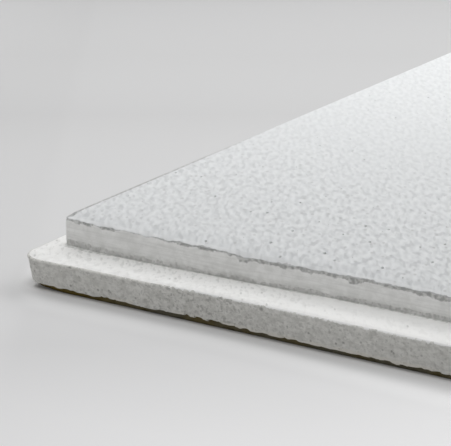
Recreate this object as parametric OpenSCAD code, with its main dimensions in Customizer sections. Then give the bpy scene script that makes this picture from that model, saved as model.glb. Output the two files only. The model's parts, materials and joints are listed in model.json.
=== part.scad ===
// Suspended ceiling tile: one mineral fibre board with a stepped edge.
// It lies on its back with the face up. The origin is at the centre of the back,
// +Z points out of the face, and the front edge runs along X on the -Y side.

/* [Board] */
// Length over the flange, along X
tile_length = 595; // [295:5:1195]
// Width over the flange, along Y
tile_width = 595; // [295:5:1195]
// Thickness from the back to the face
thickness = 15; // [12:0.5:20]

/* [Rebate] */
// Depth of the rebate below the face
rebate_depth = 6.8; // [5:0.1:8]
// Width of the ledge along the front and back edges
front_ledge = 10.5; // [5.5:0.5:20]
// Width of the ledge along the left and right edges
side_ledge = 5.5; // [5.5:0.5:20]

/* [Flange] */
// Corner radius of the flange, seen from above
flange_corner_r = 5.5; // [5:0.5:12]
// Angle by which the flange's side leans in from the ledge down to the back
side_lean = 9; // [0:0.5:10]
// Round on the arris where the ledge meets the side
ledge_arris_r = 0.5; // [0.2:0.1:1]
// Round on the arris where the side meets the back
back_arris_r = 1.5; // [0.5:0.1:2]

/* [Face] */
// Corner radius of the raised face, seen from above
face_corner_r = 0.7; // [0.7:0.1:4]
// Chamfer along the arris of the face
face_arris = 0.6; // [0.1:0.05:0.6]

/* [Hidden] */

flange_thickness = thickness - rebate_depth;
face_length = tile_length - 2 * side_ledge;
face_width = tile_width - 2 * front_ledge;
// The raised part is rooted half-way down the flange, so that the board is one solid
face_root = flange_thickness / 2;
// Outward normal of the flange's side, in its half section
side_normal = [cos(side_lean), -sin(side_lean)];
// Centres of the two arris rounds in that section, measured from the corner's axis:
// the ledge's round reaches the full outline, and the leaning side is tangent to both
ledge_centre = [flange_corner_r - ledge_arris_r, flange_thickness - ledge_arris_r];
side_fall = ledge_centre.y - back_arris_r;
side_inset = side_fall * tan(side_lean) + (back_arris_r - ledge_arris_r) / cos(side_lean);
back_centre = [ledge_centre.x - side_inset, back_arris_r];
board_white = [0.93, 0.93, 0.92];
$fn = 96;

// Half section of the flange, from the axis of its corner outwards to the leaning side
module flange_section() {
    polygon([
        [0, 0],
        [back_centre.x, 0],
        back_centre + back_arris_r * side_normal,
        ledge_centre + ledge_arris_r * side_normal,
        [ledge_centre.x, flange_thickness],
        [0, flange_thickness]]);
    translate(back_centre) circle(back_arris_r);
    translate(ledge_centre) circle(ledge_arris_r);
}

// Half section of the raised face, from the axis of its corner outwards to the step
module face_section() {
    polygon([
        [0, face_root],
        [face_corner_r, face_root],
        [face_corner_r, thickness - face_arris],
        [face_corner_r - face_arris, thickness],
        [0, thickness]]);
}

// Slab with round corners: the half section given as a child runs along the four sides
// and turns about the four corner axes, and a plain core fills the middle
module swept_slab(length, width, corner_r, bottom, top) {
    run_x = length - 2 * corner_r;
    run_y = width - 2 * corner_r;
    for (turn = [0 : 3]) {
        along_x = turn % 2 == 0;
        run = along_x ? run_x : run_y;
        reach = (along_x ? run_y : run_x) / 2;
        rotate(90 * turn) {
            // Straight side, drawn on the -Y side and turned into place
            translate([run / 2, -reach, 0])
                rotate([90, 0, -90])
                    linear_extrude(run) children();
            // Corner at the right-hand end of that side
            translate([run / 2, -reach, 0])
                rotate(-90)
                    rotate_extrude(angle = 90) children();
        }
    }
    translate([-run_x / 2, -run_y / 2, bottom])
        cube([run_x, run_y, top - bottom]);
}

module tile() {
    color(board_white) {
        swept_slab(tile_length, tile_width, flange_corner_r, 0, flange_thickness)
            flange_section();
        swept_slab(face_length, face_width, face_corner_r, face_root, thickness)
            face_section();
    }
}

tile();
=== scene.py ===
"""Looks of a suspended ceiling tile: one mineral fibre board with a stepped edge, lying face up."""
import json
import math
from types import SimpleNamespace

import bpy
import numpy as np
from mathutils import Matrix, Vector


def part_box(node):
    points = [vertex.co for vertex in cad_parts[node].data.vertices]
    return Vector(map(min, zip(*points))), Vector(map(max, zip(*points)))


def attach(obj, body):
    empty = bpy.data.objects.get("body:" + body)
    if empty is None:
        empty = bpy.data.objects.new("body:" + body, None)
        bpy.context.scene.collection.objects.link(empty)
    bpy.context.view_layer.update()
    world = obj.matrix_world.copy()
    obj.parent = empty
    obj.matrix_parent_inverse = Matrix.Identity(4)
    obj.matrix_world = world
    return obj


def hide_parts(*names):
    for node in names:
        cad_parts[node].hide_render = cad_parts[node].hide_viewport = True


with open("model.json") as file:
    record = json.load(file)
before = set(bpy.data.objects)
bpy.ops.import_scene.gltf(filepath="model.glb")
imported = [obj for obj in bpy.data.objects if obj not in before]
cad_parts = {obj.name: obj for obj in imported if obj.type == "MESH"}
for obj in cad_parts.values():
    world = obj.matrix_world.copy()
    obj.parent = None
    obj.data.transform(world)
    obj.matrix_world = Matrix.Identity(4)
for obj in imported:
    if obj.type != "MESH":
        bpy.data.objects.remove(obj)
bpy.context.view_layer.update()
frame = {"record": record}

MM = 0.001

# Sizes in millimetres, from the tile's box and its mounts, which sit half-way across the ledges
HALF_X, HALF_Y, THICK = (round(value / MM, 2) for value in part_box("tile")[1])
mount_at = {mount["name"]: [value / MM for value in mount["pos_m"]] for mount in frame["record"]["mounts"]}
LEDGE_Z = round(mount_at["ledge_front"][2], 2)
FRONT_LEDGE = round(2 * (HALF_Y + mount_at["ledge_front"][1]), 2)
SIDE_LEDGE = round(2 * (HALF_X + mount_at["ledge_left"][0]), 2)
FACE_X, FACE_Y = HALF_X - SIDE_LEDGE, HALF_Y - FRONT_LEDGE

# Radii, chamfer and lean of the edge's section, as in the part's source
FLANGE_R = 5.5
FACE_R = 0.7
CHAMFER = 0.6
LEDGE_ARRIS = 0.5
BACK_ARRIS = 1.5
LEAN = math.radians(9.0)

# Turn of the photograph's view about +Z in degrees, along which the coat was sprayed
VIEW_TURN = 32.9

# Materials of the board, in the order of its slots
COAT, PAINT, SIDE, FELT = range(4)

# Marks that the mesh carries for its materials
MARKS = ("arris", "crease", "dust", "inner", "torn", "rim")

# Noise

# Odd numbers that scramble a cell's place and a seed, and the largest number that comes out
HASH_X, HASH_Y, HASH_Z, HASH_SEED, HASH_STIR = 374761393, 668265263, 1440662683, 974634777, 1274126177
HASH_MOST = 2 ** 32 - 1
# Each octave of rough noise is this much fainter than the last, and its seed this much higher
OCTAVE_GAIN, OCTAVE_SEED = 0.55, 17


def cell_hash(cell, seed):
    """A number from 0 to 1 for each whole-number cell."""
    cell = cell.astype(np.int64)
    h = cell[..., 0] * HASH_X + cell[..., 1] * HASH_Y + cell[..., 2] * HASH_Z + seed * HASH_SEED
    h = (h ^ (h >> 13)) & HASH_MOST
    h = (h * HASH_STIR) & HASH_MOST
    h = (h ^ (h >> 16)) & HASH_MOST
    return h / (HASH_MOST + 1.0)


def noise(points, size, seed):
    """Smooth noise from -1 to 1 with features of about that size, in millimetres."""
    scaled = points / np.asarray(size, float)
    cell = np.floor(scaled)
    share = scaled - cell
    share = share * share * (3 - 2 * share)
    out = np.zeros(points.shape[:-1])
    for corner in np.ndindex(2, 2, 2):
        part = np.prod(np.where(corner, share, 1 - share), axis=-1)
        out += part * cell_hash(cell + corner, seed)
    return 2 * out - 1


def rough(points, size, seed, octaves=3):
    """Noise summed over several sizes, each half the last."""
    out, gain, total = 0.0, 1.0, 0.0
    for k in range(octaves):
        out = out + gain * noise(points, np.asarray(size, float) / 2 ** k, seed + OCTAVE_SEED * k)
        total += gain
        gain *= OCTAVE_GAIN
    return out / total


def unit(values):
    """Noise moved from between -1 and 1 to between 0 and 1."""
    return 0.5 + 0.5 * values


def ease(x):
    """A smooth rise from 0 at 0 to 1 at 1."""
    x = np.clip(x, 0, 1)
    return x * x * (3 - 2 * x)


def soften(gap, over):
    """A smooth border of that width: 1 where the gap is well above 0, and half where it is 0."""
    return ease(gap / over + 0.5)


def fade_in(at, start, over):
    """0 up to the start, then a smooth rise to 1."""
    return ease((at - start) / over)


def fade_out(at, end, over):
    """A smooth fall from 1 that reaches 0 at the end."""
    return ease((end - at) / over)


def swell(at, middle, reach):
    """1 in the middle, falling to 0 at that reach on both sides."""
    return ease(1 - np.abs(at - middle) / reach)


# The board's mesh

# Columns along the four edges, from the front round by the right, closest at the front left corner:
# each stretch is its length and step in millimetres, and the last fills the rest
EDGE_STEPS = [[(102, 0.46), (30, 1.2), (0, 3.0)], [(0, 3.0)], [(0, 3.0)], [(480, 3.0), (70, 1.5), (0, 0.8)]]
# Steps round the corner at the end of each edge
CORNER_STEPS = [14, 14, 14, 30]
# Signs of the corners where the edges start
CORNERS = [(-1, -1), (1, -1), (1, 1), (-1, 1)]
# Over this length before a corner, the columns shift from the flange's end to the raised part's
SHIFT_LENGTH = 45

# Rows of the section in millimetres: the first one's offset, then rows under the face, over the ledge,
# along the ledge as shares of its width, and on the back as distances from the end of its round
FIRST_OFFSET = 0.05
BELOW_FACE = (0.72, 0.88, 1.06, 1.28, 1.55, 1.9, 2.35, 2.95, 3.7, 4.5, 5.2)
ABOVE_LEDGE = (1.45, 1.15, 0.88, 0.62, 0.38, 0.17, 0.0)
LEDGE_SHARES = (0.015, 0.035, 0.06, 0.1, 0.16, 0.25, 0.36, 0.48, 0.6, 0.71, 0.8, 0.87, 0.92, 0.96, 1.0)
BACK_ROWS = (0.9, 2.2)
# Directions of the rows on the rounds of the ledge and of the back, in degrees above level
LEDGE_ROUND = (66, 40, 14)
BACK_ROUND = (-25, -42, -60, -76, -90)
# Steps down the chamfer, rows down the flange's side, and how much those crowd towards the back
CHAMFER_STEPS, SIDE_ROWS, SIDE_CROWDING = 2, 12, 1.3

# Insets of the face's border loop, of its grid and of the back's grid from the base of the arris
BORDER_INSET, FACE_INSET, BACK_INSET = 0.45, 0.75, 3.0
# Stretches of the two grids: length and step
FACE_STEPS_X = [(130, 3.0), (60, 6.0), (0, 14.0)]
FACE_STEPS_Y = [(150, 3.0), (80, 6.0), (0, 14.0)]
BACK_STEPS = [(0, 16.0)]
# Least distance of the border loop's points from its corners, and slack for rounding
CORNER_GAP, SLACK, TINY = 0.2, 1e-6, 1e-9
# Stations in a full turn, and one past every other
FULL_TURN, NEVER = 4.0, 99
# Edges sharper than this many degrees aren't shaded smooth
SHARP_ANGLE = 38


class Builder:
    """Vertices, faces, one material number a face and named marks a vertex."""

    def __init__(self):
        self.points, self.faces, self.zones = [], [], []
        self.marks = {name: [] for name in MARKS}
        self.count = 0

    def add(self, points, **marks):
        points = np.asarray(points, float).reshape(-1, 3)
        first = self.count
        self.points.append(points)
        for name, store in self.marks.items():
            values = np.asarray(marks.get(name, 0.0), float).reshape(-1)
            store.append(np.broadcast_to(values, (len(points),)))
        self.count += len(points)
        return np.arange(first, self.count)

    def face(self, zone, *ids):
        self.faces.append([int(v) for v in ids])
        self.zones.append(zone)


def graded(start, stop, pieces):
    """Stations from start to stop: each piece is (length, step), the last fills the rest."""
    way = 1 if stop > start else -1
    out, at = [start], start
    for k, (length, step) in enumerate(pieces):
        end = stop if k == len(pieces) - 1 else at + way * length
        n = max(1, round(abs(end - at) / step))
        out += [at + (end - at) * j / n for j in range(1, n + 1)]
        at = end
    return out


def edge_columns():
    """Columns round the tile, counter-clockwise from the front's left end: for each one its
    outward direction, the base points of the raised part and of the flange, and its station."""
    cols = []
    in_x, in_y = FACE_X - FACE_R, FACE_Y - FACE_R
    out_x, out_y = HALF_X - FLANGE_R, HALF_Y - FLANGE_R
    for k, pieces in enumerate(EDGE_STEPS):
        along_x = k % 2 == 0
        along, inner = (out_x, in_x) if along_x else (out_y, in_y)
        way = 1 if k < 2 else -1
        angle = math.radians(-90 + 90 * k)
        nx, ny = math.cos(angle), math.sin(angle)
        for s in graded(-way * along, way * along, pieces):
            pull = (along - inner) * fade_in(abs(s), along - SHIFT_LENGTH, SHIFT_LENGTH)
            t = s - math.copysign(pull, s)
            station = k + (way * s + along) / (2 * along)
            if along_x:
                cols.append((nx, ny, t, ny * in_y, s, ny * out_y, station))
            else:
                cols.append((nx, ny, nx * in_x, t, nx * out_x, s, station))
        cx, cy = CORNERS[(k + 1) % 4]
        for j in range(1, CORNER_STEPS[k]):
            a = angle + math.radians(90) * j / CORNER_STEPS[k]
            cols.append((math.cos(a), math.sin(a), cx * in_x, cy * in_y, cx * out_x, cy * out_y, k + 1.0))
    return np.array(cols)


def heading(degrees):
    """Direction in the section, from level outwards up."""
    return np.array((math.cos(math.radians(degrees)), math.sin(math.radians(degrees))))


def edge_rows():
    """The section's rows from the face to the back: kind, offset (or share of the ledge),
    height, and the material between this row and the one before."""
    rows = [("in", FIRST_OFFSET, THICK, COAT)]
    for j in range(CHAMFER_STEPS + 1):
        offset = FACE_R - CHAMFER * (1 - j / CHAMFER_STEPS)
        rows.append(("in", offset, THICK - CHAMFER * j / CHAMFER_STEPS, COAT))
    rows += [("in", FACE_R, THICK - below, PAINT) for below in BELOW_FACE]
    rows += [("in", FACE_R, LEDGE_Z + above, PAINT) for above in ABOVE_LEDGE]
    rows += [("ledge", share, LEDGE_Z, PAINT) for share in LEDGE_SHARES]
    ledge_c = np.array((FLANGE_R - LEDGE_ARRIS, LEDGE_Z - LEDGE_ARRIS))
    fall = ledge_c[1] - BACK_ARRIS
    inset = fall * math.tan(LEAN) + (BACK_ARRIS - LEDGE_ARRIS) / math.cos(LEAN)
    back_c = np.array((ledge_c[0] - inset, BACK_ARRIS))
    lean = -math.degrees(LEAN)
    for degrees in (*LEDGE_ROUND, lean):
        d, z = ledge_c + LEDGE_ARRIS * heading(degrees)
        rows.append(("out", d, z, SIDE))
    top, low = ledge_c + LEDGE_ARRIS * heading(lean), back_c + BACK_ARRIS * heading(lean)
    for j in range(1, SIDE_ROWS + 1):
        d, z = low + (top - low) * (1 - j / SIDE_ROWS) ** SIDE_CROWDING
        rows.append(("out", d, z, SIDE))
    for degrees in BACK_ROUND:
        d, z = back_c + BACK_ARRIS * heading(degrees)
        rows.append(("out", d, max(z, 0.0), SIDE))
    rows += [("out", back_c[0] - d, 0.0, FELT) for d in BACK_ROWS]
    return rows


def edge_points(cols, rows):
    """Plain positions of the edge band, columns by rows, and the ends of the ledge at each column."""
    n = cols[:, 0:2]
    base_in, base_out = cols[:, 2:4], cols[:, 4:6]
    grid = np.zeros((len(cols), len(rows), 3))
    foot = base_in + n * FACE_R
    brink = base_out + n * (FLANGE_R - LEDGE_ARRIS)
    for j, (kind, d, z, _zone) in enumerate(rows):
        if kind == "in":
            grid[:, j, :2] = base_in + n * d
        elif kind == "out":
            grid[:, j, :2] = base_out + n * d
        else:
            grid[:, j, :2] = foot * (1 - d) + brink * d
        grid[:, j, 2] = z
    flat = np.zeros((len(cols), 1))
    return grid, np.hstack([foot, flat]), np.hstack([brink, flat])


# Wear of the edge, in millimetres

# Larger chips along the front arris: start and end from the face's left corner, and height
FRONT_CHIPS = [
    (-0.5, 8.2, 0.5), (1.9, 4.9, 1.05), (4.6, 8.2, 0.65), (9.1, 14.4, 0.7), (9.1, 12.2, 0.95),
    (17.6, 19.0, 0.5), (22.6, 23.9, 0.4), (24.6, 29.0, 0.42), (29.4, 34.4, 0.75), (35.0, 40.6, 0.9),
    (42.8, 45.3, 0.75), (45.0, 98.6, 0.75), (45.3, 49.5, 1.45), (50.0, 53.5, 1.1), (54.3, 59.0, 1.2),
    (61.0, 65.5, 1.05), (67.0, 71.5, 1.1), (72.3, 77.5, 1.5), (83.5, 87.5, 0.95), (88.5, 98.6, 1.25)]
# Length over which such a chip sets in
CHIP_END = 1.2

# The face falls off towards its front and back arrises: depth and width of that fall
FALL, FALL_WIDTH = 1.0, 3.0

# Places along the front from its left end. Where wear is strongest: middle and reach
FALL_MOST, TEAR_MOST, PITS_MOST = (51, 17), (45, 13), (48, 22)
# Where it sets in: start and length
CHIPS_FROM, TEAR_FROM, TEAR_EASES, CREASE_FROM, CREASE_RISE = (22, 6), (3.5, 6), (62, 15), (1, 9), (45, 35)
# Where it ends: end and length
CHIPS_TO, CRUMBS_TO, CREASE_TO = (100, 6), (16, 8), (200, 80)
# Middle and half length of the bend in the crease
CREASE_BEND = (42, 20)
# Where wear round the front left corner ends: distance from the corner, and length of the fade
FALL_TO, WORN_TO, TIP_TO, LIFT_TO = (8, 8), (48, 15), (18, 8), (12, 9)
# Where the grey rim along the left and right sides fades, from the front and back edges
RIM_TO = (125, 105)

# Depths: chips and bites in the coat, crumbs, saw marks, ledge, pits, ragged arris, and the back's wear
CHIP_DEPTH, BITE_DEPTH, CRUMB_DEPTH, SAW_DEPTH, LEDGE_DEPTH, PIT_DEPTH = 0.24, 0.1, 0.1, 0.03, 0.02, 1.1
RAG_INSET, RAG_DROP, RAG_MORE, LIFT_DEPTH = 0.25, 0.1, 0.26, 0.6
# How far inside the flange's outline the torn back edge stands
TORN_INSET = 2.4
# The outer part of the ledge that is ragged, as a share of its width
RAGGED_SHARE = 0.08
# Size of the finest grain
GRAIN_SIZE = 0.9


def fallen(y, depth=FALL):
    """Drop of the face near its front and back arrises."""
    return depth * np.clip(1 - (FACE_Y - np.abs(y)) / FALL_WIDTH, 0, 1)


def rim_strength(y):
    """Strength of the grey rim along the left and right sides at a place along them."""
    return 0.3 + 0.65 * fade_out(FACE_Y - np.abs(y), *RIM_TO)


def chip_heights(foot, front):
    """How far down the step the coat is broken off at each column."""
    fine = rough(foot, 2.4, seed=5)
    loose = np.clip(0.45 + 0.5 * noise(foot, 16.0, seed=3) + 0.4 * fine, 0.06, 1.1)
    at = foot[:, 0] + FACE_X
    placed = 0.08 + 0.27 * fade_in(at, *CHIPS_FROM)
    for start, end, height in FRONT_CHIPS:
        chip = fade_in(at, start, CHIP_END) * fade_out(at, end, CHIP_END)
        placed = np.maximum(placed, height * chip * (0.9 + 0.45 * fine))
    share = np.where(front, fade_out(at, *CHIPS_TO), 0.0)
    return placed * share + loose * (1 - share)


def torn_heights(brink, front, facing):
    """How far up the flange's side the back edge is torn at each column."""
    along = brink[:, 0] + HALF_X
    tear = 1.2 + 0.2 * noise(brink, 9.0, seed=61) + 0.75 * rough(brink, 1.7, seed=63)
    tear = np.clip(tear + np.where(front, 0.5 * swell(along, *TEAR_MOST), 0.0), 0.5, 2.3)
    tear *= 0.45 + 0.55 * fade_in(facing, 0.5, 0.5) * fade_in(along, *TEAR_FROM)
    return tear * np.where(front, 1 - 0.15 * fade_in(along, *TEAR_EASES), 1.0)


def column_wear(foot, brink, cols):
    """How far each kind of wear goes at each column of the edge band."""
    wear = SimpleNamespace(brink=brink, width=np.linalg.norm(brink - foot, axis=1))
    wear.corner = np.abs(cols[:, 0] * cols[:, 1]) > TINY
    wear.facing = np.abs(cols[:, 1])
    front = ~wear.corner & (cols[:, 1] < -0.5)
    at, along = foot[:, 0] + FACE_X, brink[:, 0] + HALF_X
    away = np.hypot(along, brink[:, 1] + HALF_Y)
    wear.chips = chip_heights(foot, front)
    wear.tear = torn_heights(brink, front, wear.facing)
    # Crumbs, dust and painted shade lie in the crease, most of all at the front's left end
    wear.near_end = fade_out(at, *CRUMBS_TO) * front
    crumbs = 1.05 + 0.35 * noise(foot, 11.0, seed=21) + 0.5 * rough(foot, 2.2, seed=23)
    wear.crumbs = np.clip(crumbs + 0.3 * wear.near_end, 0.4, 1.9)
    wear.dusty = 1 + 0.4 * noise(foot, 5.0, seed=25)
    # The coat is bitten off over the arris
    bite = 0.6 * rough(foot, 1.5, seed=9) + 0.3 * noise(foot, 5.0, seed=13) + 0.35 * wear.chips
    wear.bite = np.clip(bite, -0.3, 0.8)
    # The fall of the face wavers, and the step's top follows it
    fall = FALL + 0.35 * rough(foot, 2.0, seed=15) + np.where(front, 0.3 * swell(at, *FALL_MOST), 0.0)
    wear.fall = fall - 0.3 * fade_out(np.hypot(at, foot[:, 1] + FACE_Y), *FALL_TO)
    wear.sag = np.maximum(fallen(foot[:, 1], wear.fall) - CHAMFER, 0)
    # The rebate was not cut quite level along the front
    middle, length = CREASE_BEND
    wander = 0.3 * np.tanh((at - middle) / length) + 0.35 * fade_in(at, *CREASE_RISE)
    wear.wander = np.where(front, wander * fade_in(at, *CREASE_FROM) * fade_out(at, *CREASE_TO), 0.0)
    # The ledge's arris is worn round the front left corner, and the back under it
    worn = (0.4 + 0.1 * np.clip(-cols[:, 1], 0, 1) ** 2) * fade_out(away, *WORN_TO)
    wear.worn = worn + 0.2 * fade_out(away, *TIP_TO)
    wear.lift = LIFT_DEPTH * fade_out(away, *LIFT_TO)
    wear.rag = unit(rough(brink, 2.4, seed=41)) * (1 - 0.7 * fade_out(away, *TIP_TO))
    # The face has a grey rim along the left and right sides, strongest near the corners
    wear.bare_rim = rim_strength(foot[:, 1]) * (np.abs(cols[:, 0]) > 0.6)
    # The side is pitted in places, most of all some way along the front
    pitted = 0.4 + 0.8 * noise(brink, 20.0, seed=59)
    wear.pitted = np.clip(pitted + np.where(front, 0.7 * swell(along, *PITS_MOST), 0), 0, 1)
    return wear


def wear_step(points, offset, height, wear):
    """Inset, drop and marks of a row on the face's arris or on the step under it."""
    below, above = THICK - height, height - LEDGE_Z
    grain = unit(noise(points, GRAIN_SIZE, seed=7))
    broken = soften(wear.chips + CHAMFER - below, 0.7) * ease((below - CHAMFER) / 0.2 + 1.0)
    crumbled = soften(wear.crumbs - above, 0.8)
    marks = {
        "arris": np.maximum(broken, wear.bare_rim * (below < CHAMFER)),
        "crease": crumbled + 0.8 * ease(1 - above / 0.35),
        "dust": wear.dusty * max(1 - above / 2.6, 0.0)}
    inset = CHIP_DEPTH * broken * (0.4 + 0.6 * grain) + CRUMB_DEPTH * crumbled * grain
    if below >= CHAMFER:
        saw = SAW_DEPTH + 0.02 * noise(points, (14.0, 14.0, 0.6), seed=11)
        inset = inset + (saw + 0.01 * noise(points, (4.0, 4.0, 0.5), seed=12))
    if below <= CHAMFER:
        bitten = soften(wear.bite - (FACE_R - offset), 0.3) * (wear.facing > 0.6)
        marks["arris"] = np.maximum(marks["arris"], 0.95 * bitten)
        marks["rim"] = wear.facing * min(0.3 + 0.7 * (FACE_R - offset) / CHAMFER, 1.0)
        drop = np.maximum(fallen(points[:, 1], wear.fall) - below, 0) + BITE_DEPTH * bitten * grain
    else:
        drop = wear.sag * above / (THICK - CHAMFER - LEDGE_Z)
    # Corners keep clear of their own axis
    inset = np.where(wear.corner, np.minimum(inset, max(offset - 0.06, 0.0)), inset)
    drop = drop - wear.wander * fade_out(height, LEDGE_Z + 3.0, 3.0)
    if height <= LEDGE_Z:
        drop = CRUMB_DEPTH * crumbled - wear.wander
    return inset, drop, marks


def wear_ledge(points, share, _height, wear):
    """Inset, drop and marks of a row on the ledge, at a share of its width from the step."""
    out = share * wear.width
    close = soften(0.5 * wear.crumbs * (1 + wear.near_end) - out, 0.6)
    marks = {
        "crease": close + 0.8 * ease(1 - out / 0.3),
        "dust": 0.7 * wear.dusty * np.clip(1 - out / 2.0, 0, 1),
        "inner": 1 - share}
    pit = PIT_DEPTH * np.clip(noise(points, 1.3, seed=33) - 0.72, 0, 1)
    drop = CRUMB_DEPTH * close + LEDGE_DEPTH + 0.04 * np.abs(rough(points, 4.0, seed=31)) + pit
    drop = drop - wear.wander * (1 - share) + wear.worn * share
    ragged = max((share - (1 - RAGGED_SHARE)) / RAGGED_SHARE, 0.0)
    inset = RAG_INSET * wear.rag * ragged
    drop = drop + (RAG_DROP + RAG_MORE * wear.rag) * ragged ** 2
    return inset, drop, marks


def wear_side(points, offset, height, wear):
    """Inset, drop and marks of a row on the flange's side, or on the back at height 0."""
    if height <= 0:
        drop = -0.12 * np.clip(rough(points, 3.0, seed=71), 0, 1) - wear.lift
        return np.zeros(len(points)), drop, {"torn": 1.0}
    grain = unit(noise(points, GRAIN_SIZE, seed=7))
    top = fade_in(height, LEDGE_Z - 1.3, 0.9)
    rim = fade_out(height, 2.0, 1.4)
    low = ease(height / 0.5)
    pit = PIT_DEPTH * np.clip(noise(points, 1.1, seed=57) - 0.6, 0, 1)
    pit = pit + 0.8 * wear.pitted * np.clip(noise(points, 1.0, seed=58) - 0.3, 0, 1)
    body = 0.15 * unit(rough(points, 1.6, seed=51, octaves=2)) + 0.1 * unit(noise(points, 6.0, seed=55))
    torn = soften(wear.tear - height, 0.3)
    recess = max(TORN_INSET - (FLANGE_R - offset), 0.0)
    inset = RAG_INSET * wear.rag * top + (body + pit) * (1 - top)
    inset = inset + torn * (0.25 * rim * grain + 0.85 * recess)
    drop = (RAG_DROP + RAG_MORE * wear.rag + wear.worn) * top
    drop -= 0.35 * np.clip(noise(wear.brink, 1.7, seed=65), 0, 1) * rim * low + wear.lift * rim
    return inset, drop, {"torn": torn}


ROW_WEAR = {"in": wear_step, "ledge": wear_ledge, "out": wear_side}


def weather(grid, foot, brink, cols, rows):
    """Chips, saw marks, crumbs, pits and tears on the edge band, and marks for the materials.
    All of it moves into the board, apart from the crease, which wanders up and down."""
    wear = column_wear(foot, brink, cols)
    outward = np.hstack([cols[:, 0:2], np.zeros((len(cols), 1))])
    out = grid.copy()
    marks = {name: np.zeros(grid.shape[:2]) for name in MARKS}
    for j, (kind, d, z, _zone) in enumerate(rows):
        inset, drop, found = ROW_WEAR[kind](grid[:, j], d, z, wear)
        for name, values in found.items():
            marks[name][:, j] = values
        out[:, j] -= outward * inset[:, None]
        out[:, j, 2] -= drop
    return out, marks


def zip_loops(b, outer, outer_at, inner, inner_at, zone, flip):
    """Triangles between two closed loops that run the same way, matched by their stations."""
    n, m = len(outer), len(inner)
    i = k = 0
    while i < n or k < m:
        next_o = outer_at[i + 1] if i + 1 < n else (outer_at[0] + FULL_TURN if i < n else NEVER)
        next_i = inner_at[k + 1] if k + 1 < m else (inner_at[0] + FULL_TURN if k < m else NEVER)
        o, q = outer[i % n], inner[k % m]
        if i < n and (next_o <= next_i or k >= m):
            t = (o, outer[(i + 1) % n], q)
            i += 1
        else:
            t = (o, inner[(k + 1) % m], q)
            k += 1
        b.face(zone, *(t[::-1] if flip else t))


def rect_loop(ids):
    """Boundary of a grid of vertex numbers, counter-clockwise from its front left corner."""
    lines = [ids[:-1, 0], ids[-1, :-1], ids[:0:-1, -1], ids[0, :0:-1]]
    return [v for line in lines for v in line]


def stations(xs, ys):
    """Stations of a grid's boundary loop, 0 to 4, matching rect_loop."""
    u = (xs - xs[0]) / (xs[-1] - xs[0])
    v = (ys - ys[0]) / (ys[-1] - ys[0])
    return np.concatenate([u[:-1], 1 + v[:-1], 2 + (1 - u[:0:-1]), 3 + (1 - v[:0:-1])])


def border_loop(b, cols):
    """A loop on the face just inside its arris, with one point at each corner. It carries the mark
    of the grey rim along the left and right sides, which fades away from the corners."""
    bx, by = FACE_X - FACE_R - BORDER_INSET, FACE_Y - FACE_R - BORDER_INSET
    points, at, bare, rim = [], [], [], []
    for k, (cx, cy) in enumerate(CORNERS):
        points.append((cx * bx, cy * by, THICK - fallen(by)))
        at.append(float(k))
        bare.append(0.3)
        rim.append(1.0)
        for nx, ny, ix, iy, _ox, _oy, station in cols:
            if not k < station < k + 1 or abs(nx * ny) >= TINY:
                continue
            x, y = ix - nx * BORDER_INSET, iy - ny * BORDER_INSET
            inside = abs(x) <= bx + SLACK and abs(y) <= by + SLACK
            if inside and abs(x - cx * bx) + abs(y - cy * by) > CORNER_GAP:
                points.append((x, y, THICK - fallen(y)))
                at.append(station)
                bare.append(0.75 * rim_strength(y) * abs(nx))
                rim.append(abs(ny))
    return list(b.add(points, arris=bare, rim=rim)), at


# The larger pinholes near the front left corner: place from that corner, and half width
PINHOLES = [
    (49.2, 8.0, 0.42), (62.6, 7.6, 0.4), (77.1, 7.2, 0.42), (84.7, 16.0, 0.42), (66.9, 19.5, 0.38),
    (33.6, 25.2, 0.3), (37.4, 25.6, 0.32), (48.8, 17.9, 0.32), (60.5, 29.7, 0.36), (66.0, 30.2, 0.3),
    (66.8, 5.4, 0.3), (20.4, 30.5, 0.32), (81.3, 27.7, 0.34), (33.6, 33.7, 0.28), (39.4, 37.4, 0.28),
    (50.0, 26.7, 0.28), (59.3, 22.1, 0.26), (77.7, 22.5, 0.28), (36.3, 2.4, 0.3), (55.4, 2.2, 0.3)]
# Pinholes are longer than wide, along the direction in which the coat was sprayed
STRETCH, SPRAY = 2.1, math.radians(VIEW_TURN)
# Directions of the points round a pinhole, and how far the oval reaches there
SPOKES = 8
SPOKE_TURNS = np.radians(22.5 + 45 * np.arange(SPOKES))
SPOKE_REACH = 1 / np.hypot(np.cos(SPOKE_TURNS - SPRAY), np.sin(SPOKE_TURNS - SPRAY) / STRETCH)
# Room that the widest pinhole needs along X and along Y, as a share of its half width
ROOM_X = 1.25 * math.hypot(STRETCH * math.sin(SPRAY), math.cos(SPRAY))
ROOM_Y = 1.25 * math.hypot(STRETCH * math.cos(SPRAY), math.sin(SPRAY))
# Drawn pinholes: how many in a square millimetre, the largest share of cells that has one, the least
# half width and the most that is added to it, which is less near the placed ones
HOLES_PER_AREA, HOLES_MOST = 0.011, 0.55
HOLE_R, HOLE_SPREAD, HOLE_SPREAD_NEAR = 0.12, 0.2, 0.06
NEAR_X, NEAR_Y = 100, 40
# Mark of the painted shade in a pinhole, at its ring; its tip has the full mark
RING_SHADE_MARK = 0.35
# The face is a little wavy away from its rim: depth, and width of the even rim
WAVE_DEPTH, EVEN_RIM = 0.05, 12


def drawn_pinhole(box, pick, draws):
    """Place and half width of the pinhole drawn for a cell of the face's grid, if it has one."""
    x0, y0, x1, y1 = box
    w, h = x1 - x0, y1 - y0
    if pick > min(HOLES_MOST, HOLES_PER_AREA * w * h):
        return None
    near = x0 < NEAR_X - FACE_X and y0 < NEAR_Y - FACE_Y
    spread = HOLE_SPREAD_NEAR if near else HOLE_SPREAD
    return x0 + w * draws[0], y0 + h * draws[1], HOLE_R + spread * draws[2] ** 3


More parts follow.
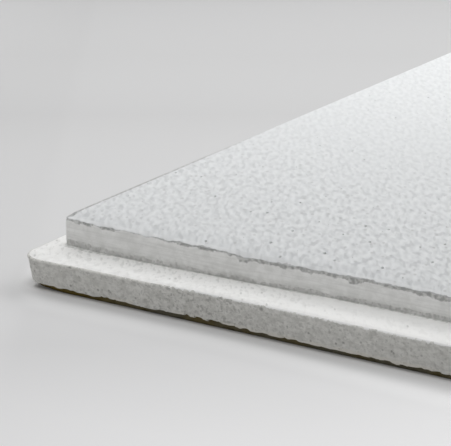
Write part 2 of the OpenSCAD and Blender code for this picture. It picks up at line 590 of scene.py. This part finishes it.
def sink_pinhole(b, corners, heights, box, hole, depth, cell):
    """A pinhole in a cell of the face's grid: a ring of points round a sunken tip."""
    x0, y0, x1, y1 = box
    x, y, r = hole
    x = min(max(x, x0 + ROOM_X * r), x1 - ROOM_X * r)
    y = min(max(y, y0 + ROOM_Y * r), y1 - ROOM_Y * r)
    spokes = np.stack([np.full(SPOKES, cell[0]), np.full(SPOKES, cell[1]), np.arange(SPOKES)], axis=-1)
    reach = r * (1 + 0.4 * (cell_hash(spokes, seed=97) - 0.5)) * SPOKE_REACH
    ring = np.stack([reach * np.cos(SPOKE_TURNS), reach * np.sin(SPOKE_TURNS)], axis=-1)
    flat = np.vstack([ring, np.zeros((1, 2))])
    across, along = (flat + (x - x0, y - y0)).T / [[x1 - x0], [y1 - y0]]
    low, high = heights
    left, right = low[0] + (low[1] - low[0]) * along, high[0] + (high[1] - high[0]) * along
    level = left + (right - left) * across
    level[-1] -= depth * r
    *ring, tip = b.add(np.column_stack([flat + (x, y), level]), crease=[RING_SHADE_MARK] * SPOKES + [1.0])
    for k in range(SPOKES):
        b.face(COAT, ring[k], ring[(k + 1) % SPOKES], tip)
    # Ring points 0 and 1 look to the far right corner, 2 and 3 to the far left one, and so on
    for q in range(4):
        here, after = corners[(q + 2) % 4], corners[(q + 3) % 4]
        b.face(COAT, here, ring[2 * q + 1], ring[2 * q])
        b.face(COAT, here, after, ring[(2 * q + 2) % SPOKES], ring[2 * q + 1])


def flat_grid(xs, ys, z):
    """Points of a level grid."""
    gx, gy = np.meshgrid(xs, ys, indexing="ij")
    return np.stack([gx, gy, np.full_like(gx, z)], axis=-1)


def face_grid(b):
    """The face: a flat grid with real pinholes sunk into its cells."""
    fx, fy = FACE_X - FACE_R - FACE_INSET, FACE_Y - FACE_R - FACE_INSET
    xs, ys = np.array(graded(-fx, fx, FACE_STEPS_X)), np.array(graded(-fy, fy, FACE_STEPS_Y))
    p = flat_grid(xs, ys, THICK)
    rim = np.minimum(fx - np.abs(p[..., 0]), fy - np.abs(p[..., 1]))
    wave = WAVE_DEPTH * ease(rim / EVEN_RIM) * unit(rough(p, 26.0, seed=81, octaves=2))
    p[..., 2] -= wave + fallen(p[..., 1])
    ids = b.add(p).reshape(p.shape[:2])
    cells = flat_grid(np.arange(len(xs) - 1), np.arange(len(ys) - 1), 0)
    pick = cell_hash(cells, seed=91)
    draws = np.stack([cell_hash(cells, seed=92 + k) for k in range(4)], axis=-1)
    placed = {}
    for px, py, r in PINHOLES:
        i, j = np.searchsorted(xs, px - FACE_X) - 1, np.searchsorted(ys, py - FACE_Y) - 1
        placed[i, j] = (px - FACE_X, py - FACE_Y, r)
    for i, j in np.ndindex(pick.shape):
        corners = (ids[i, j], ids[i + 1, j], ids[i + 1, j + 1], ids[i, j + 1])
        box = (xs[i], ys[j], xs[i + 1], ys[j + 1])
        hole = placed.get((i, j)) or drawn_pinhole(box, pick[i, j], draws[i, j])
        if hole is None:
            b.face(COAT, *corners)
        else:
            depth = 1.1 + 0.9 * draws[i, j][3]
            sink_pinhole(b, corners, p[i:i + 2, j:j + 2, 2], box, hole, depth, (i, j))
    return ids, xs, ys


def back_grid(b):
    """The back, a coarse grid that lies on the floor."""
    fx, fy = HALF_X - FLANGE_R - BACK_INSET, HALF_Y - FLANGE_R - BACK_INSET
    xs, ys = np.array(graded(-fx, fx, BACK_STEPS)), np.array(graded(-fy, fy, BACK_STEPS))
    p = flat_grid(xs, ys, 0)
    p[..., 2] += 0.15 * np.clip(rough(p, 30.0, seed=85, octaves=2), 0, 1)
    ids = b.add(p).reshape(p.shape[:2])
    for i, j in np.ndindex(len(xs) - 1, len(ys) - 1):
        b.face(FELT, ids[i, j], ids[i, j + 1], ids[i + 1, j + 1], ids[i + 1, j])
    return ids, xs, ys


def board_object(b):
    """The finished mesh, with its material numbers and marks, as an object in the scene."""
    mesh = bpy.data.meshes.new("tile_board")
    mesh.from_pydata((np.concatenate(b.points) * MM).tolist(), [], b.faces)
    mesh.polygons.foreach_set("material_index", np.array(b.zones, np.int32))
    for name, store in b.marks.items():
        layer = mesh.attributes.new(name, "FLOAT", "POINT")
        layer.data.foreach_set("value", np.concatenate(store).astype(np.float32))
    mesh.validate()
    mesh.shade_smooth()
    mesh.set_sharp_from_angle(angle=math.radians(SHARP_ANGLE))
    mesh.update()
    board = bpy.data.objects.new("tile_board", mesh)
    bpy.context.scene.collection.objects.link(board)
    return board


def build_board():
    """The board as one closed mesh: the edge band, zipped to the face and to the back."""
    b = Builder()
    cols, rows = edge_columns(), edge_rows()
    grid, foot, brink = edge_points(cols, rows)
    grid, marks = weather(grid, foot, brink, cols, rows)
    ids = b.add(grid, **marks).reshape(grid.shape[:2])
    for i in range(len(cols)):
        k = (i + 1) % len(cols)
        for j in range(len(rows) - 1):
            b.face(rows[j + 1][3], ids[i, j], ids[i, j + 1], ids[k, j + 1], ids[k, j])
    edge_at = list(cols[:, 6])
    border, border_at = border_loop(b, cols)
    zip_loops(b, list(ids[:, 0]), edge_at, border, border_at, COAT, False)
    face, xs, ys = face_grid(b)
    zip_loops(b, border, border_at, rect_loop(face), list(stations(xs, ys)), COAT, False)
    back, xs, ys = back_grid(b)
    zip_loops(b, list(ids[:, -1]), edge_at, rect_loop(back), list(stations(xs, ys)), FELT, True)
    return board_object(b)


# Materials

# The stipple of the face calms down between these distances inside the front and back edges, in
# millimetres, and a little between these inside the left one
CALM_FROM, CALM_TO, CALM_SHARE = 30, 90, 0.62
CALM_LEFT_FROM, CALM_LEFT_TO, CALM_LEFT_SHARE = 62, 30, 0.18
# Places along X: where the ledge gets its painted light, the side is pitted, with its reach,
# and the dirt and painted shade along the back get brown
PAINTED_LIGHT_FROM, PAINTED_LIGHT_TO = -250.0, -215.0
PITTED_X, PITTED_FROM, PITTED_TO = -249.0, 26.0, 8.0
BROWN_FROM, BROWN_TO = -262.0, -282.0


class Nodes:
    """A short way to write a node tree."""

    def __init__(self, name):
        self.mat = bpy.data.materials.new(name)
        self.mat.use_nodes = True
        self.tree = self.mat.node_tree
        self.tree.nodes.clear()
        self.shader = self.new("ShaderNodeBsdfPrincipled")
        self.out = self.new("ShaderNodeOutputMaterial", {0: self.shader.outputs[0]})
        self.where = self.new("ShaderNodeTexCoord").outputs["Object"]

    def new(self, kind, sockets=None, **settings):
        """A node with those settings, and a value or a link fed to each of those sockets."""
        node = self.tree.nodes.new(kind)
        for key, value in settings.items():
            setattr(node, key, value)
        for key, value in (sockets or {}).items():
            self.feed(node.inputs[key], value)
        return node

    def feed(self, socket, value):
        if isinstance(value, bpy.types.NodeSocket):
            self.tree.links.new(value, socket)
        else:
            socket.default_value = value

    def math(self, op, a, b=0.0, clamp=False):
        return self.new("ShaderNodeMath", {0: a, 1: b}, operation=op, use_clamp=clamp).outputs[0]

    def times(self, a, b):
        return self.math("MULTIPLY", a, b)

    def plus(self, a, b):
        return self.math("ADD", a, b)

    def minus(self, a, b):
        return self.math("SUBTRACT", a, b)

    def without(self, a, b):
        """A share less another, not below 0."""
        return self.math("SUBTRACT", a, b, True)

    def most(self, a, b):
        return self.math("MAXIMUM", a, b)

    def ramp(self, value, low, high, to_low=0.0, to_high=1.0, kind="LINEAR"):
        ends = {"From Min": low, "From Max": high, "To Min": to_low, "To Max": to_high}
        node = self.new("ShaderNodeMapRange", {"Value": value, **ends}, interpolation_type=kind)
        return node.outputs["Result"]

    def step(self, value, low, high, to_low=0.0, to_high=1.0):
        return self.ramp(value, low, high, to_low, to_high, "SMOOTHSTEP")

    def space(self, size_mm, turn=0.0):
        """Object coordinates in units of a size, one number or one for each axis, turned about +Z."""
        scale = np.broadcast_to(np.asarray(size_mm, float) * MM, 3)
        turned = {"Vector": self.where, "Rotation": (0, 0, math.radians(turn)), "Scale": scale}
        return self.new("ShaderNodeMapping", turned, vector_type="TEXTURE").outputs["Vector"]

    def noise(self, size_mm, detail=2.0, roughness=0.5, turn=0.0, dimensions="3D", twist=0.0):
        """Noise of that size, turned with its grains; twist turns only the lattice under them."""
        twisted = {"Vector": self.space(size_mm, turn), "Rotation": (0, 0, math.radians(twist))}
        lattice = self.new("ShaderNodeMapping", twisted, vector_type="POINT").outputs["Vector"]
        grains = {"Vector": lattice, "Scale": 1.0, "Detail": detail, "Roughness": roughness}
        return self.new("ShaderNodeTexNoise", grains, noise_dimensions=dimensions).outputs["Fac"]

    def sprayed(self, size_mm, twist):
        """Plain flat noise whose grains lie along the spray."""
        return self.noise(size_mm, 0.0, 0.5, VIEW_TURN, "2D", twist)

    def place(self, axis):
        """Place along an axis of the tile, in millimetres."""
        split = self.new("ShaderNodeSeparateXYZ", {0: self.where})
        return self.times(split.outputs[axis], 1 / MM)

    def ragged(self, value, size_mm, amount, low, high):
        """A value pushed up and down by noise, then cut to 0 to 1 between two levels."""
        push = self.times(self.minus(self.noise(size_mm, 3.0, 0.6), 0.5), amount)
        return self.step(self.plus(value, push), low, high)

    def specks(self, size_mm, radius, share, turn=0.0):
        """Round specks in some of the cells: radius as a share of the cell."""
        dots = self.new("ShaderNodeTexVoronoi", {"Vector": self.space(size_mm, turn), "Scale": 1.0})
        spot = self.step(dots.outputs["Distance"], 0.3 * radius, radius, 1.0, 0.0)
        return self.times(spot, self.step(dots.outputs["Color"], 1.0 - share, 1.15 - share))

    def mark(self, name):
        return self.new("ShaderNodeAttribute", attribute_name=name).outputs["Fac"]

    def mix(self, share, a, b):
        return self.new("ShaderNodeMix", {"Factor": share, 6: a, 7: b}, data_type="RGBA").outputs[2]

    def cover(self, color, share, part=None):
        """Lays a colour over what is there, by that share or by a part of it."""
        if part is not None:
            share = self.times(share, part)
        self.color = self.mix(share, self.color, color)

    def bump(self, height, distance_mm, strength, normal=None):
        sockets = {"Height": height, "Distance": distance_mm * MM, "Strength": strength}
        if normal is not None:
            sockets["Normal"] = normal
        return self.new("ShaderNodeBump", sockets).outputs["Normal"]

    def finish(self, roughness, normal, specular):
        sockets = {"Base Color": self.color, "Roughness": roughness, "Specular IOR Level": specular}
        if normal is not None:
            sockets["Normal"] = normal
        for name, value in sockets.items():
            self.feed(self.shader.inputs[name], value)
        return self.mat


def face_coat():
    """White sprayed coat with a fine stipple, dark flecks, scattered pinholes and a grey rim, with painted
    shade in the stipple's hollows and in the pinholes, and painted highlight on the stipple's crests and
    over the arris.
    """
    shaded_hollow, lit_crest, even = (0.632, 0.645, 0.647, 1), (0.750, 0.763, 0.765, 1), (0.665, 0.677, 0.680, 1)
    bright, cloudy, rim_white_and_highlight = (0.82, 0.83, 0.835, 1), (0.68, 0.69, 0.705, 1), (0.80, 0.81, 0.81, 1)
    dark, pore_shade, grey = (0.47, 0.48, 0.485, 1), (0.40, 0.40, 0.39, 1), (0.36, 0.36, 0.355, 1)
    m = Nodes("face_coat")
    stipple = m.sprayed((1.12, 3.0, 1.0), twist=45.0)
    grain = m.sprayed((0.85, 2.2, 1.0), twist=20.0)
    fleck = m.sprayed((1.05, 3.0, 1.0), twist=70.0)
    # Painted shade in the stipple's hollows and painted highlight on its crests
    m.color = m.mix(m.ramp(stipple, 0.2, 0.8), shaded_hollow, lit_crest)
    m.cover(bright, m.step(grain, 0.55, 0.85, 0.0, 0.3))
    m.cover(cloudy, m.step(m.noise(16.0), 0.30, 0.75, 0.0, 0.1))
    m.cover(dark, m.step(fleck, 0.55, 0.75, 0.0, 0.45))
    # Dark specks for small pores: painted shade
    m.cover(pore_shade, m.specks((1.7, 3.0, 1.7), 0.3, 0.5, VIEW_TURN), 0.46)
    # The stipple is calmer away from the front and back edges, and a little on the left
    calm = m.ramp(m.math("ABSOLUTE", m.place("Y")), FACE_Y - CALM_FROM, FACE_Y - CALM_TO, 0.0, CALM_SHARE)
    left = m.ramp(m.place("X"), CALM_LEFT_FROM - FACE_X, CALM_LEFT_TO - FACE_X, 0.0, CALM_LEFT_SHARE)
    m.cover(even, m.most(calm, left))
    # A whiter rim over the arris: partly paint that wraps over it, partly painted highlight against the
    # chamfer's shade
    m.cover(rim_white_and_highlight, m.mark("rim"), 0.5)
    # Painted shade in the sunken pinholes, which carry the crease mark on the face
    m.cover(grey, m.step(m.mark("crease"), 0.3, 0.7, 0.0, 0.7))
    # Grey where the coat is broken off the arris, and along the grey rim of the left and right sides
    bare = m.ragged(m.mark("arris"), 0.9, 0.9, 0.40, 0.75)
    m.cover(grey, bare, m.step(m.noise(1.1), 0.3, 0.62, 0.4, 0.92))
    normal = m.bump(grain, 0.06, 0.6, m.bump(stipple, 0.16, 0.6))
    return m.finish(m.step(stipple, 0.2, 0.8, 0.75, 0.55), normal, 0.3)


def paint_on_ledge(m, upright):
    """The ledge's paint, with spots. Painted light makes it whitest on its inner side, in the step's
    shadow, and away from the front left corner.
    """
    white, spot, speck = (0.975, 0.973, 0.953, 1), (0.62, 0.62, 0.60, 1), (0.42, 0.42, 0.40, 1)
    # Painted light: white on the ledge's inner side and away from the front left corner
    painted_light = m.without(m.ramp(m.place("X"), PAINTED_LIGHT_FROM, PAINTED_LIGHT_TO), upright)
    m.cover(white, m.most(m.times(m.mark("inner"), 0.95), painted_light))
    flat = m.without(m.ramp(m.mark("inner"), 0.0, 0.6, 0.3, 1.0), upright)
    flat = m.times(flat, m.ramp(painted_light, 0.0, 1.0, 1.0, 0.55))
    m.cover(spot, flat, m.step(m.noise((0.9, 2.4, 0.9), 1.0, 0.5, VIEW_TURN), 0.50, 0.68, 0.0, 0.5))
    m.cover(speck, m.without(m.specks((1.3, 3.4, 2.2), 0.3, 0.4, VIEW_TURN), upright), 0.5)


def dirt_and_shade_in_crease(m):
    """Dust with painted shade, crumbs, grit and a dark seam of painted shade along the crease at the step's
    foot.
    """
    dust, crumb = (0.55, 0.55, 0.53, 1), (0.62, 0.62, 0.60, 1)
    grit, seam = (0.40, 0.40, 0.385, 1), (0.50, 0.50, 0.48, 1)
    # Dust and painted shade at the foot of the step and on the ledge next to it
    m.cover(dust, m.mark("dust"), m.step(m.noise(1.6, 3.0, 0.6), 0.35, 0.65, 0.15, 0.75))
    crumbs = m.ragged(m.mark("crease"), 1.0, 1.6, 0.5, 0.95)
    m.cover(crumb, crumbs, m.step(m.noise(1.3, 1.0), 0.40, 0.60, 0.25, 0.85))
    m.cover(grit, crumbs, m.step(m.noise(0.8, 1.0), 0.48, 0.64, 0.0, 0.4))
    # The dark seam in the inside corner: painted shade
    m.cover(seam, m.ragged(m.mark("crease"), 0.8, 0.8, 1.2, 1.6), 0.3)


def edge_paint():
    """Smooth white paint on the step and the ledge, broken off to the grey board in places."""
    dull, white = (0.84, 0.84, 0.82, 1), (0.94, 0.94, 0.922, 1)
    streaked, grey = (0.66, 0.66, 0.635, 1), (0.40, 0.40, 0.39, 1)
    m = Nodes("edge_paint")
    mottle = m.noise(2.0, 3.0, 0.6)
    fine = m.noise(0.7, 2.0, 0.6)
    upright = m.step(m.place("Z"), LEDGE_Z + 0.1, LEDGE_Z + 0.5)
    m.color = m.mix(m.step(mottle, 0.32, 0.68), dull, white)
    m.cover(streaked, upright, m.step(m.noise((9.0, 9.0, 0.55), 3.0, 0.6), 0.42, 0.66, 0.0, 0.3))
    paint_on_ledge(m, upright)
    broken = m.ragged(m.mark("arris"), 0.7, 1.2, 0.30, 0.80)
    m.cover(grey, broken, m.step(m.noise(0.9), 0.34, 0.64, 0.4, 1.0))
    dirt_and_shade_in_crease(m)
    normal = m.bump(fine, 0.06, 0.5, m.bump(mottle, 0.08, 0.5))
    return m.finish(m.step(mottle, 0.3, 0.7, 0.62, 0.5), normal, 0.35)


def raw_side():
    """Thinly painted granular fibre on the flange's side, torn along the back, where a dark band of brown
    dirt and painted shade lies.
    """
    shaded, light, lump = (0.606, 0.60, 0.567, 1), (0.78, 0.773, 0.738, 1), (0.65, 0.643, 0.612, 1)
    dark, speck, hole = (0.42, 0.415, 0.395, 1), (0.28, 0.275, 0.26, 1), (0.22, 0.215, 0.20, 1)
    pit, cream, white = (0.36, 0.355, 0.335, 1), (0.80, 0.765, 0.69, 1), (0.87, 0.87, 0.86, 1)
    grey_dirt_and_shade, brown_dirt_and_shade = (0.16, 0.147, 0.103, 1), (0.165, 0.122, 0.032, 1)
    m = Nodes("raw_side")
    grain = m.noise((1.3, 1.3, 0.9), 3.0, 0.6)
    m.color = m.mix(m.step(grain, 0.32, 0.68), shaded, light)
    m.cover(lump, m.step(m.noise(5.0), 0.35, 0.7, 0.0, 0.2))
    m.cover(dark, m.step(m.noise(0.7, 1.0), 0.56, 0.74, 0.0, 0.5))
    # Dark specks and holes in the fibre: painted shade of its pits
    m.cover(speck, m.specks(1.3, 0.32, 0.4), 0.7)
    m.cover(hole, m.specks(3.1, 0.27, 0.4), 0.85)
    # Pits some way along the front get painted shade
    pitted = m.ramp(m.math("ABSOLUTE", m.plus(m.place("X"), -PITTED_X)), PITTED_FROM, PITTED_TO, 0.0, 0.6)
    m.cover(pit, pitted, m.step(m.noise(1.0, 2.0, 0.6), 0.52, 0.66))
    # A cream fringe over the torn edge, and a white rim of paint under the ledge
    m.cover(cream, m.step(m.place("Z"), 2.5, 1.4), m.step(m.noise(6.0), 0.42, 0.6, 0.0, 0.7))
    m.cover(white, m.ragged(m.place("Z"), 1.2, 1.8, LEDGE_Z - 0.52, LEDGE_Z - 0.40))
    # A dark band of dirt and painted shade along the torn back edge, where the side meets the floor
    brown = m.most(m.step(m.noise(11.0), 0.40, 0.64, 0.0, 0.6), m.ramp(m.place("X"), BROWN_FROM, BROWN_TO))
    m.cover(m.mix(brown, grey_dirt_and_shade, brown_dirt_and_shade), m.ragged(m.mark("torn"), 0.9, 0.8, 0.35, 0.6))
    return m.finish(0.92, m.bump(grain, 0.12, 0.8), 0.15)


def back_felt():
    """Bare felted back: beige-grey fibre, a little cloudy."""
    dark, light, cloudy = (0.40, 0.375, 0.32, 1), (0.60, 0.575, 0.51, 1), (0.47, 0.44, 0.38, 1)
    m = Nodes("back_felt")
    fibre = m.noise((1.6, 3.5, 1.6), 4.0, 0.65)
    m.color = m.mix(m.step(fibre, 0.32, 0.68), dark, light)
    m.cover(cloudy, m.step(m.noise(22.0, 3.0, 0.55), 0.35, 0.7, 0.0, 0.35))
    return m.finish(0.95, m.bump(fibre, 0.25, 0.8), 0.1)


# Stage

# The floor's half size and level in metres, and its turn about +Z in degrees, so that its places run
# across and along the photograph's view
FLOOR_HALF, FLOOR_Z, FLOOR_TURN = 15.0, -0.0001, 32.87
FLOOR_COLOR = (0.75, 0.75, 0.745, 1)
# The tile's outline on the floor stands this far inside the flange's, in millimetres
FOOT_INSET = 3
# What the camera sees of the floor. Each ramp is its two ends in metres, then the values there where
# they aren't 0 and 1. First the sweep's shade, from the middle to the front, the back and the left
SHADE_MIDDLE, SHADE_FRONT = (0.06, -0.11, 0.495, 0.75), (-0.125, -0.18, 0.0, 0.15)
SHADE_BACK = (0.13, 0.20, 0.0, 0.05)
LEFT_ACROSS, LEFT_ALONG = (-0.41, -0.445), (0.08, 0.20, 0.0, 0.035)
# The parts outside the photograph's view, which are paler
BEYOND_RIGHT, BEYOND_BACK, BEYOND_LEFT = (-0.27, 0.0), (0.25, 0.50), (-0.46, -0.70)
BEYOND_SHADE, BEYOND_GLOW = 0.9, (-0.05, 0.30, 0.0, 0.25)
# The glow on the right, and where the tile's front begins
GLOW_ALONG, GLOW_ACROSS, GLOW_NEAR = (0.0, -0.15), (-0.407, -0.32, 0.0, 0.092), (0.003, 0.007)
FRONT_ACROSS = (-0.4125, -0.4065)
# Painted light that pales the shadow along the front, by distance from the tile: close to it, and the far
# part, which moves away from the tile and fades to the right
CLOSE_RISE, CLOSE_FALL = (0.0002, 0.0011), (0.0011, 0.0036, 0.085, 0.012)
FAR_RISE, FAR_FALL = (0.0032, 0.0074), (0.0072, 0.0145, 0.112, 0.0)
FAR_SHIFT, FAR_FADE = (-0.3619, -0.3236, 0.0, 0.0022), (-0.3619, -0.3236, 1.0, 0.85)
# Painted shade on the stretch in front of that
DIM_NEAR, DIM_ACROSS, DIM_ALONG = (0.025, 0.058, 0.055, 0.0), (-0.35, -0.32, 1.0, 0.45), (-0.084, -0.100)

# Greys of the world: the light that it gives, and what is seen of it
WORLD_LIGHT, WORLD_SEEN = (0.33, 0.33, 0.335, 1), (0.626, 0.626, 0.626, 1)

# Lamps: place, point aimed at and size in metres, power in watts, turn about +Z in degrees
LAMPS = {
    "strip": ((-0.3014, -0.0709, 0.207), (-0.3014, -0.0709, 0.0), (0.625, 0.107), 0.60, VIEW_TURN),
    "broad": ((0.19, 0.235, 0.58), (0.10, 0.13, 0.0), (0.54, 0.54), 1.2, 0.0),
    "top": ((-0.166, -0.48, 1.07), (-0.166, -0.21, 0.0), (0.45, 0.45), 3.03, 0.0)}

# The photograph's size and lens in pixels, and the pixel at which the face's front left corner shows
PHOTO_WIDTH, PHOTO_HEIGHT, FOCAL_PX = 451.0, 446.0, 2400.0
CORNER_PX_X, CORNER_PX_Y = 64.4, 214.97
# The camera's tilt and turn, and its distance from that corner in metres
PITCH, YAW, DISTANCE = math.radians(17.68), math.radians(-32.865), 0.538
SENSOR_WIDTH = 36.0
CLIP_START, CLIP_END = 0.01, 100.0


def seen_rays(tree):
    """1 for rays from the camera, mirrored ones and ones let through, and 0 for the rest."""
    path = tree.nodes.new("ShaderNodeLightPath")
    seen = path.outputs["Is Camera Ray"]
    for ray in ("Is Glossy Ray", "Is Transmission Ray"):
        either = tree.nodes.new("ShaderNodeMath")
        either.operation = "MAXIMUM"
        tree.links.new(seen, either.inputs[0])
        tree.links.new(path.outputs[ray], either.inputs[1])
        seen = either.outputs[0]
    return seen


def floor_places(m):
    """Places on the floor across and along the photograph's view, in metres."""
    turned = {"Vector": m.where, "Rotation": (0, 0, math.radians(FLOOR_TURN))}
    view = m.new("ShaderNodeMapping", turned, vector_type="TEXTURE").outputs["Vector"]
    split = m.new("ShaderNodeSeparateXYZ", {0: view})
    return split.outputs["X"], split.outputs["Y"]


def floor_distance(m):
    """Distance on the floor from the tile's outline, in metres."""
    foot = ((HALF_X - FOOT_INSET) * MM, (HALF_Y - FOOT_INSET) * MM, 0)
    reach = m.new("ShaderNodeVectorMath", {0: m.where}, operation="ABSOLUTE").outputs[0]
    reach = m.new("ShaderNodeVectorMath", {0: reach, 1: foot}, operation="SUBTRACT").outputs[0]
    reach = m.new("ShaderNodeVectorMath", {0: reach, 1: (0, 0, 0)}, operation="MAXIMUM").outputs[0]
    return m.new("ShaderNodeVectorMath", {0: reach}, operation="LENGTH").outputs["Value"]


def floor_shade(m, across, along, near, front, beyond):
    """Shade of the floor that the camera sees: paler to the front, and outside the photograph's view."""
    shade = m.plus(m.ramp(along, *SHADE_MIDDLE), m.ramp(along, *SHADE_FRONT))
    shade = m.plus(shade, m.ramp(along, *SHADE_BACK))
    shade = m.plus(shade, m.times(m.ramp(across, *LEFT_ACROSS), m.ramp(along, *LEFT_ALONG)))
    shade = m.plus(m.times(shade, m.minus(1.0, beyond)), m.times(beyond, BEYOND_SHADE))
    # Painted shade on the floor in front of the tile
    dim = m.times(m.ramp(near, *DIM_NEAR), m.ramp(across, *DIM_ACROSS))
    dim = m.times(dim, m.times(front, m.step(along, *DIM_ALONG)))
    return m.times(shade, m.minus(1.0, dim))


def floor_glow(m, across, along, near, front, beyond):
    """Glow of the floor that the camera sees: on the right, in the shadow along the tile's front, and
    outside the photograph's view."""
    glow = m.times(m.ramp(along, *GLOW_ALONG), m.ramp(across, *GLOW_ACROSS))
    glow = m.times(glow, m.step(near, *GLOW_NEAR))
    close = m.times(m.step(near, *CLOSE_RISE), m.step(near, *CLOSE_FALL))
    away = m.minus(near, m.ramp(across, *FAR_SHIFT))
    far = m.times(m.step(away, *FAR_RISE), m.step(away, *FAR_FALL))
    far = m.times(far, m.ramp(across, *FAR_FADE))
    glow = m.plus(glow, m.times(m.plus(close, far), front))
    return m.plus(glow, m.times(beyond, m.ramp(along, *BEYOND_GLOW)))


def floor_material():
    """Pale floor. Light that falls on it bounces plainly, and what the camera sees of it is evened out,
    as on a studio sweep."""
    m = Nodes("pale_floor")
    m.color = FLOOR_COLOR
    m.finish(0.9, None, 0.1)
    across, along = floor_places(m)
    near = floor_distance(m)
    front = m.step(across, *FRONT_ACROSS)
    beyond = m.most(m.step(across, *BEYOND_RIGHT), m.step(along, *BEYOND_BACK))
    beyond = m.most(beyond, m.step(across, *BEYOND_LEFT))
    seen = m.new("ShaderNodeBsdfDiffuse", {"Color": floor_shade(m, across, along, near, front, beyond)})
    glow = m.new("ShaderNodeEmission", {"Strength": floor_glow(m, across, along, near, front, beyond)})
    both = m.new("ShaderNodeAddShader", {0: seen.outputs[0], 1: glow.outputs[0]})
    plain = m.shader.outputs[0]
    pick = m.new("ShaderNodeMixShader", {0: seen_rays(m.tree), 1: plain, 2: both.outputs[0]})
    m.feed(m.out.inputs[0], pick.outputs[0])
    return m.mat


def area_light(name, location, target, size, power, turn):
    """A rectangular lamp that the camera doesn't see."""
    data = bpy.data.lights.new(name, "AREA")
    data.shape = "RECTANGLE"
    data.size, data.size_y = size
    data.energy = power
    lamp = bpy.data.objects.new(name, data)
    lamp.location = location
    aim = (Vector(target) - Vector(location)).to_track_quat("-Z", "Y").to_matrix()
    lamp.rotation_euler = (Matrix.Rotation(math.radians(turn), 3, "Z") @ aim).to_euler()
    lamp.visible_camera = False
    bpy.context.scene.collection.objects.link(lamp)


def set_world():
    """An even grey world, seen paler than the light that it gives."""
    world = bpy.data.worlds.new("studio")
    bpy.context.scene.world = world
    world.use_nodes = True
    tree = world.node_tree
    tree.nodes.clear()
    out = tree.nodes.new("ShaderNodeOutputWorld")
    mix = tree.nodes.new("ShaderNodeMixShader")
    tree.links.new(seen_rays(tree), mix.inputs[0])
    for slot, color in ((1, WORLD_LIGHT), (2, WORLD_SEEN)):
        grey = tree.nodes.new("ShaderNodeBackground")
        grey.inputs["Color"].default_value = color
        tree.links.new(grey.outputs[0], mix.inputs[slot])
    tree.links.new(mix.outputs[0], out.inputs[0])


def set_camera():
    """Long lens, tilted down and turned to the tile's front left corner, as the photograph was taken."""
    ahead = Vector((math.sin(YAW) * math.cos(PITCH), math.cos(YAW) * math.cos(PITCH), -math.sin(PITCH)))
    right = Vector((math.cos(YAW), -math.sin(YAW), 0))
    up = right.cross(ahead)
    corner = Vector((-FACE_X, -FACE_Y, THICK)) * MM
    ray = ahead * FOCAL_PX + right * (CORNER_PX_X - PHOTO_WIDTH / 2) - up * (CORNER_PX_Y - PHOTO_HEIGHT / 2)
    data = bpy.data.cameras.new("camera")
    data.sensor_fit = "HORIZONTAL"
    data.sensor_width = SENSOR_WIDTH
    data.lens = SENSOR_WIDTH * FOCAL_PX / PHOTO_WIDTH
    data.clip_start, data.clip_end = CLIP_START, CLIP_END
    camera = bpy.data.objects.new("camera", data)
    turn = Matrix((right, up, -ahead)).transposed().to_4x4()
    turn.translation = corner - ray.normalized() * DISTANCE
    camera.matrix_world = turn
    bpy.context.scene.collection.objects.link(camera)
    bpy.context.scene.camera = camera


def set_stage():
    """The floor and the lamps."""
    mesh = bpy.data.meshes.new("floor")
    s, z = FLOOR_HALF, FLOOR_Z
    mesh.from_pydata([(-s, -s, z), (s, -s, z), (s, s, z), (-s, s, z)], [], [(0, 1, 2, 3)])
    floor = bpy.data.objects.new("floor", mesh)
    floor.data.materials.append(floor_material())
    bpy.context.scene.collection.objects.link(floor)
    for name, values in LAMPS.items():
        area_light(name, *values)


board = build_board()
for make in (face_coat, edge_paint, raw_side, back_felt):
    board.data.materials.append(make())
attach(board, "root")
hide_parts("tile")

set_world()
set_camera()
set_stage()
bpy.context.scene.view_settings.view_transform = "Standard"
